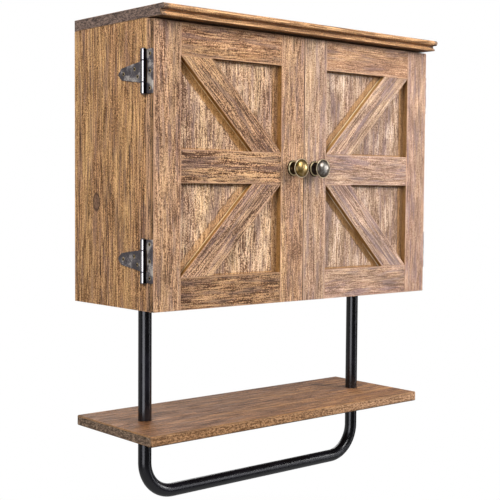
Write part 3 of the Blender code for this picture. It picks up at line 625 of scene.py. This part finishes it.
def brass(name, deep, mid, bright, place):
    """Antique brass: lacquered bright on the crowns, with brown patina in the hollows, painted
    highlights on the foot's shoulder and the cap's rim, and a darker outer side of the cap.
    """
    g = Graph(name)
    centre = Vector(place)
    local = g.vector("SUBTRACT", g.place["Object"], tuple(centre))
    flat = g.vector("MULTIPLY", local, (1.0, 0.0, 1.0))
    radius = g.vector("LENGTH", flat)
    depth = g.calc("MULTIPLY", g.vector("DOT_PRODUCT", local, Y), -1.0)
    cloud = g.noise(g.vector("MULTIPLY", g.place["Object"], (130.0, 130.0, 130.0)), 4.0, 0.6)
    fine = g.noise(g.vector("MULTIPLY", g.place["Object"], (1100.0, 1100.0, 1100.0)), 3.0)
    crown = g.fit(depth, 0.0195, 0.0245)
    tone = g.calc("ADD", g.calc("MULTIPLY", crown, 0.35), g.fit(cloud, 0.3, 0.7, 0.1, 0.55))
    colour = g.ramp(tone, (0.0, linear(*deep)), (0.45, linear(*mid)), (1.0, linear(*bright)))
    foot = g.fit(depth, 0.0168, 0.0160)
    colour = g.mix(g.calc("MULTIPLY", foot, 0.92), colour, linear(34, 24, 18))
    # Painted highlight: a pale ring on the foot's shoulder
    shoulder_highlight = g.calc("MULTIPLY", g.fit(radius, 0.0094, 0.0100), g.fit(radius, 0.0112, 0.0108))
    shoulder_highlight = g.calc("MULTIPLY", shoulder_highlight, g.fit(depth, 0.0060, 0.0050))
    colour = g.mix(shoulder_highlight, colour, linear(226, 206, 160))
    # The cap's outer side is darker
    outside = g.calc("MULTIPLY", g.fit(radius, 0.0139, 0.0142), g.fit(depth, 0.0190, 0.0184))
    colour = g.mix(outside, colour, linear(44, 34, 24))
    # Painted highlight: a pale ring on the cap's rim
    rim = g.calc("MULTIPLY", g.fit(radius, 0.0131, 0.0135), g.fit(depth, 0.0183, 0.0189))
    colour = g.mix(g.calc("MULTIPLY", rim, 0.9), colour, linear(220, 204, 170))
    groove = g.calc("MULTIPLY", g.fit(radius, 0.0136, 0.0131), g.fit(radius, 0.0118, 0.0126))
    groove = g.calc("MULTIPLY", groove, g.fit(depth, 0.0185, 0.0190))
    colour = g.mix(g.calc("MULTIPLY", groove, 0.8), colour, linear(40, 32, 20))
    g.feed(g.shader.inputs["Base Color"], colour)
    g.feed(g.shader.inputs["Roughness"], g.fit(cloud, 0.3, 0.7, 0.36, 0.30))
    g.shader.inputs["Metallic"].default_value = 0.92
    g.bump(fine, 0.004 * MM, 0.4)
    return g.material


def powder_coat(name):
    """Smooth black paint, a little uneven in gloss."""
    g = Graph(name)
    slow = g.noise(g.vector("MULTIPLY", g.place["Object"], (30.0, 30.0, 30.0)), 2.0)
    fine = g.noise(g.vector("MULTIPLY", g.place["Object"], (700.0, 700.0, 700.0)), 1.0)
    shade = g.fit(g.calc("MULTIPLY_ADD", fine, 0.2, slow), 0.4, 0.8)
    black = g.mix(shade, (0.0018, 0.0018, 0.0028, 1.0), (0.0046, 0.0044, 0.0075, 1.0))
    g.feed(g.shader.inputs["Base Color"], black)
    g.feed(g.shader.inputs["Roughness"], g.fit(slow, 0.3, 0.7, 0.23, 0.27))
    g.shader.inputs["Specular IOR Level"].default_value = 0.7
    return g.material


def plastic(name, colour):
    g = Graph(name)
    grit = g.noise(g.vector("MULTIPLY", g.place["Object"], (1500.0, 1500.0, 1500.0)), 2.0)
    tone = linear(*colour)
    g.feed(g.shader.inputs["Base Color"], g.mix(grit, tuple(v * 0.8 for v in tone[:3]) + (1.0,), tone))
    g.feed(g.shader.inputs["Roughness"], g.fit(grit, 0.3, 0.7, 0.42, 0.55))
    g.bump(grit, 0.05 * MM, 0.5)
    return g.material


# ---------------------------------------------------------------- pieces

def new_piece(name, bm, body, material, stands_for=(), sharp=None):
    """Put a finished mesh, made in the row frame, on its body."""
    bmesh.ops.recalc_face_normals(bm, faces=bm.faces)
    mesh = bpy.data.meshes.new(name)
    bm.to_mesh(mesh)
    bm.free()
    mesh.shade_smooth()
    if sharp:
        mesh.set_sharp_from_angle(angle=radians(sharp))
    piece = bpy.data.objects.new(name, mesh)
    bpy.context.scene.collection.objects.link(piece)
    piece.data.materials.append(material)
    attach(piece, body)
    if stands_for:
        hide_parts(*stands_for)
    return piece


def rounded(profile, between=3):
    """A smooth line through (radius, height) points."""
    points = [Vector(p) for p in profile]
    ends = [points[0]] + points + [points[-1]]
    line = []
    for a, b, c, d in zip(ends, ends[1:], ends[2:], ends[3:]):
        for step in range(between):
            t = step / between
            line.append(0.5 * (2 * b + (c - a) * t + (2 * a - 5 * b + 4 * c - d) * t * t
                               + (3 * b - a - 3 * c + d) * t ** 3))
    return [(max(p[0], 0.0), p[1]) for p in line + [points[-1]]]


def lathe(bm, profile, sides, place):
    """Spin (radius, height) points about +Z and set the result at place, a matrix."""
    rings = []
    for radius, height in profile:
        if radius < 1e-7:
            rings.append([bm.verts.new(place @ Vector((0.0, 0.0, height)))])
            continue
        angles = [2 * pi * k / sides for k in range(sides)]
        points = [Vector((radius * cos(a), radius * sin(a), height)) for a in angles]
        rings.append([bm.verts.new(place @ point) for point in points])
    for first, second in zip(rings, rings[1:]):
        for k in range(sides):
            quad = [first[k % len(first)], first[(k + 1) % len(first)],
                    second[(k + 1) % len(second)], second[k % len(second)]]
            corners = list(dict.fromkeys(quad))
            if len(corners) > 2:
                bm.faces.new(corners)


def looking(direction, place):
    """A matrix that turns +Z to direction at a place."""
    turn = Vector(direction).to_track_quat("Z", "Y").to_matrix().to_4x4()
    return Matrix.Translation(Vector(place)) @ turn


def screw_head(bm, radius, rise, place, twist, rubbed=0):
    """A domed countersunk head with a cross recess, as a closed shallow form; the outer rings of
    faces, as many as rubbed says, take the piece's second material."""
    rings, sides = 14, 48
    arm = 0.20 * radius
    reach = 0.66 * radius
    deep = 0.5 * rise + 0.28 * radius

    def height(x, y):
        dome = rise * (1 - (x * x + y * y) / radius ** 2)
        a, b = abs(x * cos(twist) + y * sin(twist)), abs(-x * sin(twist) + y * cos(twist))
        inside = 0.0
        for u, v in ((a, b), (b, a)):
            side = min(1.0, max(0.0, (arm * 1.25 - u) / (arm * 0.5)))
            end = min(1.0, max(0.0, (reach - v) / (reach * 0.5)))
            inside = max(inside, side * end)
        return dome - deep * inside
    top = bm.verts.new(place @ Vector((0.0, 0.0, height(0.0, 0.0))))
    last = None
    for ring in range(1, rings + 1):
        r = radius * ring / rings
        row = []
        for k in range(sides):
            x, y = r * cos(2 * pi * k / sides), r * sin(2 * pi * k / sides)
            row.append(bm.verts.new(place @ Vector((x, y, height(x, y)))))
        for k in range(sides):
            n = (k + 1) % sides
            corners = [top, row[k], row[n]] if last is None else [last[k], row[k], row[n], last[n]]
            face = bm.faces.new(corners)
            face.material_index = 1 if ring > rings - rubbed else 0
        last = row
    low = [bm.verts.new(place @ Vector((radius * 0.55 * cos(2 * pi * k / sides),
                                        radius * 0.55 * sin(2 * pi * k / sides), -0.45 * radius)))
           for k in range(sides)]
    for k in range(sides):
        n = (k + 1) % sides
        bm.faces.new([last[k], low[k], low[n], last[n]])
    bm.faces.new(list(reversed(low)))


def towel_bar():
    low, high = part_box("towel_bar_frame")
    radius = (high.y - low.y) / 2
    depth = (high.y + low.y) / 2
    half = high.x - radius
    bar = low.z + radius
    sides, bend_steps = 56, 28
    path = [(Vector((-half, depth, high.z)), Vector((1, 0, 0)))]
    for centre_x, first in ((-half + BEND_RADIUS, pi), (half - BEND_RADIUS, 1.5 * pi)):
        for step in range(bend_steps + 1):
            a = first + pi / 2 * step / bend_steps
            out = Vector((cos(a), 0, sin(a)))
            path.append((Vector((centre_x, depth, bar + BEND_RADIUS)) + BEND_RADIUS * out, -out))
    path.append((Vector((half, depth, high.z)), Vector((-1, 0, 0))))
    bm = bmesh.new()
    walls = []
    for wall in (radius, radius - TUBE_WALL):
        rings = []
        for point, inward in path:
            ring = [point + wall * (cos(2 * pi * k / sides) * inward + sin(2 * pi * k / sides) * Vector(Y))
                    for k in range(sides)]
            rings.append([bm.verts.new(p) for p in ring])
        for first, second in zip(rings, rings[1:]):
            for k in range(sides):
                n = (k + 1) % sides
                bm.faces.new([first[k], first[n], second[n], second[k]])
        walls.append(rings)
    for end in (0, -1):
        for k in range(sides):
            n = (k + 1) % sides
            bm.faces.new([walls[0][end][k], walls[0][end][n], walls[1][end][n], walls[1][end][k]])
    return new_piece("towel_bar_tube", bm, "case", MATERIALS["tube"], ["towel_bar_frame"], 50)


# (radius, height) of a knob from its foot, in millimetres
KNOB_PROFILE = [
    (3.0, 0.0), (11.2, 0.0), (11.65, 0.2), (11.75, 0.7), (11.6, 1.25), (11.1, 1.6), (10.5, 1.75),
    (10.1, 2.1), (9.1, 3.1), (7.8, 4.4), (6.8, 6.0), (6.15, 8.0), (5.95, 10.0), (6.1, 11.8),
    (6.6, 13.3), (7.7, 14.6), (9.4, 15.6), (11.7, 16.4), (13.3, 16.95), (14.15, 17.5), (14.5, 18.3),
    (14.4, 19.0), (13.95, 19.45), (13.4, 19.5), (13.05, 19.35), (12.8, 19.55), (12.4, 20.1),
    (11.1, 21.4), (9.4, 22.6), (7.5, 23.6), (5.2, 24.4), (2.8, 24.85), (0.0, 25.0),
]


def knobs():
    for word, side in SIDES.items():
        low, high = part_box(f"knob_{word}")
        place = Vector(((low.x + high.x) / 2, high.y, (low.z + high.z) / 2))
        bm = bmesh.new()
        profile = [(r * MM, h * MM) for r, h in rounded(KNOB_PROFILE)]
        lathe(bm, profile, 96, looking((0, -1, 0), place))
        colours = {
            "left": ((70, 52, 26), (148, 118, 62), (244, 216, 158)),
            "right": ((50, 45, 40), (116, 106, 96), (238, 234, 224)),
        }[word]
        material = brass(f"antique_brass_{word}", *colours, place)
        body = f"{word}_door"
        new_piece(f"knob_turned_{word}", bm, body, material, [f"knob_{word}"], 60)


def hinge_screws():
    """Three dark screws in each strap and three in each plate."""
    for word, side in SIDES.items():
        for level in ("lower", "upper"):
            ending = f"{level}_{word}"
            pin_low, pin_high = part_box(f"hinge_pin_{ending}")
            axis_depth = (pin_low.y + pin_high.y) / 2
            height = (pin_low.z + pin_high.z) / 2
            plate_low, plate_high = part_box(f"hinge_plate_{ending}")
            foot = min(abs(plate_low.x), abs(plate_high.x))
            face = side * (foot + HINGE_LEAF)
            sets = {
                "strap": ([(axis_depth + reach, rise) for reach, rise in STRAP_SCREWS], "case"),
                "plate": ([(axis_depth - PLATE_SCREW_REACH, rise) for rise in PLATE_SCREW_HEIGHTS],
                          f"{word}_door"),
            }
            for leaf, (spots, body) in sets.items():
                bm = bmesh.new()
                for number, (y, rise) in enumerate(spots):
                    place = looking((side, 0, 0), (face, y, height + rise))
                    screw_head(bm, 2.6 * MM, 0.55 * MM, place, 0.5 + 1.1 * number + 0.7 * side, 4)
                screws, dark = f"{leaf}_screws_{ending}", MATERIALS["screw_dark"]
                piece = new_piece(screws, bm, body, dark, (), 40)
                piece.data.materials.append(MATERIALS["screw_rim"])


def box_and_middle(name):
    low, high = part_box(name)
    return low, high, (low + high) / 2


def small_screws():
    """Screws of the hangers, catches and strikes, and the grub screws of the collars."""
    for word, side in SIDES.items():
        def zinc_piece(stem, bm, body="case"):
            new_piece(f"{stem}_{word}", bm, body, MATERIALS["zinc"], (), 40)

        _, plate_high, middle = box_and_middle(f"hanger_plate_{word}")
        bm = bmesh.new()
        for rise in (-16.2 * MM, 16.2 * MM):
            place = looking((0, 1, 0), (middle.x, plate_high.y - 0.15 * MM, middle.z + rise))
            screw_head(bm, 2.6 * MM, 0.14 * MM, place, 0.4 + rise * 60)
        zinc_piece("hanger_screws", bm)

        _, strike_high, middle = box_and_middle(f"strike_plate_{word}")
        bm = bmesh.new()
        for reach in (-13 * MM, 13 * MM):
            place = looking((0, 1, 0), (middle.x + reach, strike_high.y - 0.1 * MM, middle.z))
            screw_head(bm, 2.4 * MM, 0.09 * MM, place, 0.3 + reach * 90)
        zinc_piece("strike_screws", bm, f"{word}_door")

        catch_low, _, middle = box_and_middle(f"magnetic_catch_{word}")
        bm = bmesh.new()
        for reach in (-18 * MM, 18 * MM):
            place = looking((0, 0, -1), (middle.x + reach, middle.y + 2 * MM, catch_low.z + 0.05 * MM))
            screw_head(bm, 2.6 * MM, 0.04 * MM, place, 0.9 + reach * 50)
        zinc_piece("catch_screws", bm)

        collar_low, collar_high, middle = box_and_middle(f"shelf_collar_{word}")
        bm = bmesh.new()
        outer = (collar_high.y - collar_low.y) / 2
        place = looking((0, -1, 0), (middle.x, middle.y - outer + 0.5 * MM, middle.z))
        profile = [(0.0, -1.4), (0.8, -1.4), (0.85, 0.0), (1.45, 0.1), (1.6, -0.2)]
        profile += [(1.6, -2.5), (0.0, -2.5)]
        lathe(bm, [(r * MM, h * MM) for r, h in profile], 24, place)
        zinc_piece("collar_screw", bm)


def finish_fittings():
    for word in SIDES:
        for level in ("lower", "upper"):
            for stem in ("hinge_strap", "hinge_plate"):
                dress(NODES[f"{stem}_{level}_{word}"], MATERIALS["hinge"], None, 0.22 * MM)
            dress(NODES[f"hinge_pin_{level}_{word}"], MATERIALS["pin"], None, 0.1 * MM)
        for row in ("front", "rear"):
            dress(NODES[f"shelf_pin_{row}_{word}"], MATERIALS["zinc"], None, 0.15 * MM)
        dress(NODES[f"hanger_plate_{word}"], MATERIALS["zinc"], None, 0.15 * MM)
        dress(NODES[f"strike_plate_{word}"], MATERIALS["zinc"], None, 0.15 * MM)
        dress(NODES[f"magnetic_catch_{word}"], MATERIALS["catch"], None, 0.8 * MM, 3)
        dress(NODES[f"shelf_collar_{word}"], MATERIALS["tube"], None, 0.5 * MM, 3)
        for stem in ("knob_screw", "tube_plug", "bar_bolt"):
            dress(NODES[f"{stem}_{word}"], MATERIALS["zinc"], None, 0.15 * MM)


# ---------------------------------------------------------------- stage

def make_camera():
    """The photographer stands to the left, a little above the open shelf, with a long lens."""
    place = Vector((-1.1477, -1.4170, -0.2065))
    yaw, pitch, roll = -0.7085, 0.0557, 0.0072
    forward = Vector((-sin(yaw) * cos(pitch), cos(yaw) * cos(pitch), -sin(pitch)))
    right = forward.cross(Vector(Z)).normalized()
    up = right.cross(forward)
    across = cos(roll) * right + sin(roll) * up
    upward = cos(roll) * up - sin(roll) * right
    data = bpy.data.cameras.new("camera")
    data.lens = 78.70
    data.sensor_width = 36.0
    camera = bpy.data.objects.new("camera", data)
    bpy.context.scene.collection.objects.link(camera)
    turn = Matrix((across, upward, -forward)).transposed().to_4x4()
    camera.matrix_world = Matrix.Translation(place) @ turn
    bpy.context.scene.camera = camera


def softbox(name, place, aim, size, power, colour=(1.0, 1.0, 1.0), soft=True, shine=True):
    """An area lamp; soft lamps light the surfaces and shine lamps show in what is polished."""
    data = bpy.data.lights.new(name, "AREA")
    data.shape = "RECTANGLE"
    data.size, data.size_y = size
    data.energy = power
    data.color = colour
    lamp = bpy.data.objects.new(name, data)
    bpy.context.scene.collection.objects.link(lamp)
    direction = Vector(aim) - Vector(place)
    turned = direction.to_track_quat("-Z", "Y").to_matrix().to_4x4()
    lamp.matrix_world = Matrix.Translation(Vector(place)) @ turned
    lamp.visible_camera = False
    lamp.visible_diffuse = soft
    lamp.visible_glossy = shine
    return lamp


SKY = (0.93, 0.93, 1.0)
WARM = (1.0, 0.98, 0.96)


def make_lights():
    softbox("key_softbox", (1.5, -2.3, 1.0), (0.0, -0.1, -0.1), (1.1, 1.1), 95.0, WARM, shine=False)
    softbox("fill_softbox", (-2.3, -1.1, 0.9), (0.0, -0.1, -0.2), (1.0, 1.4), 72.0, WARM, shine=False)
    softbox("front_softbox", (-0.6, -3.0, 0.4), (0.0, 0.0, -0.2), (0.8, 1.6), 14.0, shine=False)
    softbox("window_shine", (0.1, -2.4, 1.5), (0.0, -0.2, -0.3), (1.3, 1.3), 45.0, soft=False)
    softbox("left_shine", (-2.15, -1.32, -0.45), (-0.28, -0.12, -0.45), (1.5, 1.7), 27.0, SKY, soft=False)
    softbox("bar_shine", (1.4, -2.0, 0.0), (0.0, -0.1, -0.6), (0.5, 1.2), 3.8, SKY, soft=False)
    softbox("tube_shine", (1.9, -1.6, -0.8), (0.0, -0.1, -0.5), (0.4, 1.0), 2.8, SKY, soft=False)
    softbox("knob_shine", (2.0, -1.3, 0.1), (0.0, -0.2, -0.15), (0.6, 0.7), 12.0, soft=False)
    softbox("rear_softbox", (1.2, 2.6, 1.2), (0.0, 0.0, -0.1), (1.8, 1.8), 30.0)


def make_world():
    """White all round for the camera. The object is lit softly, more from above than below, and
    mirror-like surfaces see a dark studio in front and the pale backdrop behind."""
    world = bpy.data.worlds.new("studio")
    world.use_nodes = True
    bpy.context.scene.world = world
    tree = world.node_tree
    background = tree.nodes["Background"]
    background.inputs["Color"].default_value = (1.0, 1.0, 1.0, 1.0)
    place = tree.nodes.new("ShaderNodeTexCoord")
    parts = tree.nodes.new("ShaderNodeSeparateXYZ")
    tree.links.new(place.outputs["Generated"], parts.inputs[0])

    def ranged(axis, *ends):
        node = tree.nodes.new("ShaderNodeMapRange")
        tree.links.new(parts.outputs[axis], node.inputs["Value"])
        for name, value in zip(("From Min", "From Max", "To Min", "To Max"), ends):
            node.inputs[name].default_value = value
        return node.outputs[0]

    rise = ranged("Z", -0.6, 0.6, 0.10, 0.42)
    pale = tree.nodes.new("ShaderNodeMath")
    pale.operation = "MULTIPLY"
    tree.links.new(ranged("Y", 0.0, 0.5, 0.03, 0.42), pale.inputs[0])
    tree.links.new(ranged("Z", 0.2, 0.6, 1.0, 0.05), pale.inputs[1])
    tree.links.new(ray_strength(tree, rise, pale.outputs[0]), background.inputs["Strength"])


def ray_strength(tree, soft, glossy):
    """1 for what the camera sees directly, glossy for reflections and soft for the rest."""
    path = tree.nodes.new("ShaderNodeLightPath")
    total = soft
    for ray, value in (("Is Glossy Ray", glossy), ("Is Camera Ray", 1.0)):
        node = tree.nodes.new("ShaderNodeMix")
        node.data_type = "FLOAT"
        tree.links.new(path.outputs[ray], node.inputs[0])
        for socket, amount in ((2, total), (3, value)):
            if isinstance(amount, float):
                node.inputs[socket].default_value = amount
            else:
                tree.links.new(amount, node.inputs[socket])
        total = node.outputs[0]
    return total


def make_floor():
    """A pale studio floor that runs out into a white sweep away from the object."""
    bm = bmesh.new()
    bmesh.ops.create_grid(bm, x_segments=8, y_segments=8, size=30.0)
    mesh = bpy.data.meshes.new("studio_floor")
    bm.to_mesh(mesh)
    bm.free()
    floor = bpy.data.objects.new("studio_floor", mesh)
    bpy.context.scene.collection.objects.link(floor)
    floor.location = (0.0, 0.0, FLOOR_HEIGHT)
    g = Graph("studio_floor")
    g.shader.inputs["Base Color"].default_value = (0.86, 0.86, 0.85, 1.0)
    g.shader.inputs["Roughness"].default_value = 0.9
    sweep = g.add("ShaderNodeEmission")
    away = g.vector("LENGTH", g.vector("MULTIPLY", g.place["Object"], (1.0, 1.0, 0.0)))
    behind = g.fit(g.vector("DOT_PRODUCT", g.place["Object"], Y), 0.5, 2.5, 0.03, 0.32)
    shine = g.calc("MAXIMUM", g.fit(away, 1.0, 2.6, 0.36, 0.03), behind)
    g.feed(sweep.inputs["Strength"], ray_strength(g.tree, 0.12, shine))
    path = g.add("ShaderNodeLightPath").outputs
    unseen = g.calc("SUBTRACT", 1.0, path["Is Camera Ray"])
    share = g.calc("MAXIMUM", g.fit(away, SWEEP_NEAR, SWEEP_FAR), unseen)
    both = g.add("ShaderNodeMixShader", {0: share})
    g.tree.links.new(g.shader.outputs[0], both.inputs[1])
    g.tree.links.new(sweep.outputs[0], both.inputs[2])
    g.tree.links.new(both.outputs[0], g.tree.nodes["Material Output"].inputs["Surface"])
    floor.data.materials.append(g.material)


MATERIALS = {
    "tube": powder_coat("black_powder_coat"),
    "hinge": hinge_steel("gunmetal_hinge_steel"),
    "pin": metal("dark_pin_steel", (60, 58, 60), (150, 146, 142), (0.25, 0.12), 5.0),
    "screw_dark": metal("dark_screw_steel", (8, 7, 7), (26, 23, 20), (0.45, 0.15), 6.0, metallic=0.4),
    "screw_rim": metal("rubbed_screw_rim", (146, 122, 82), (220, 198, 150), (0.35, 0.1), 3.0, metallic=0.6),
    "zinc": metal("zinc_plated_steel", (120, 120, 116), (190, 190, 184), (0.26, 0.14), 14.0),
    "catch": plastic("brown_catch_plastic", (92, 62, 44)),
}

make_camera()
make_world()
make_lights()
make_floor()
finish_case()
finish_doors()
finish_fittings()
towel_bar()
knobs()
hinge_screws()
small_screws()

scene = bpy.context.scene
scene.view_settings.view_transform = "Standard"
scene.view_settings.look = "None"
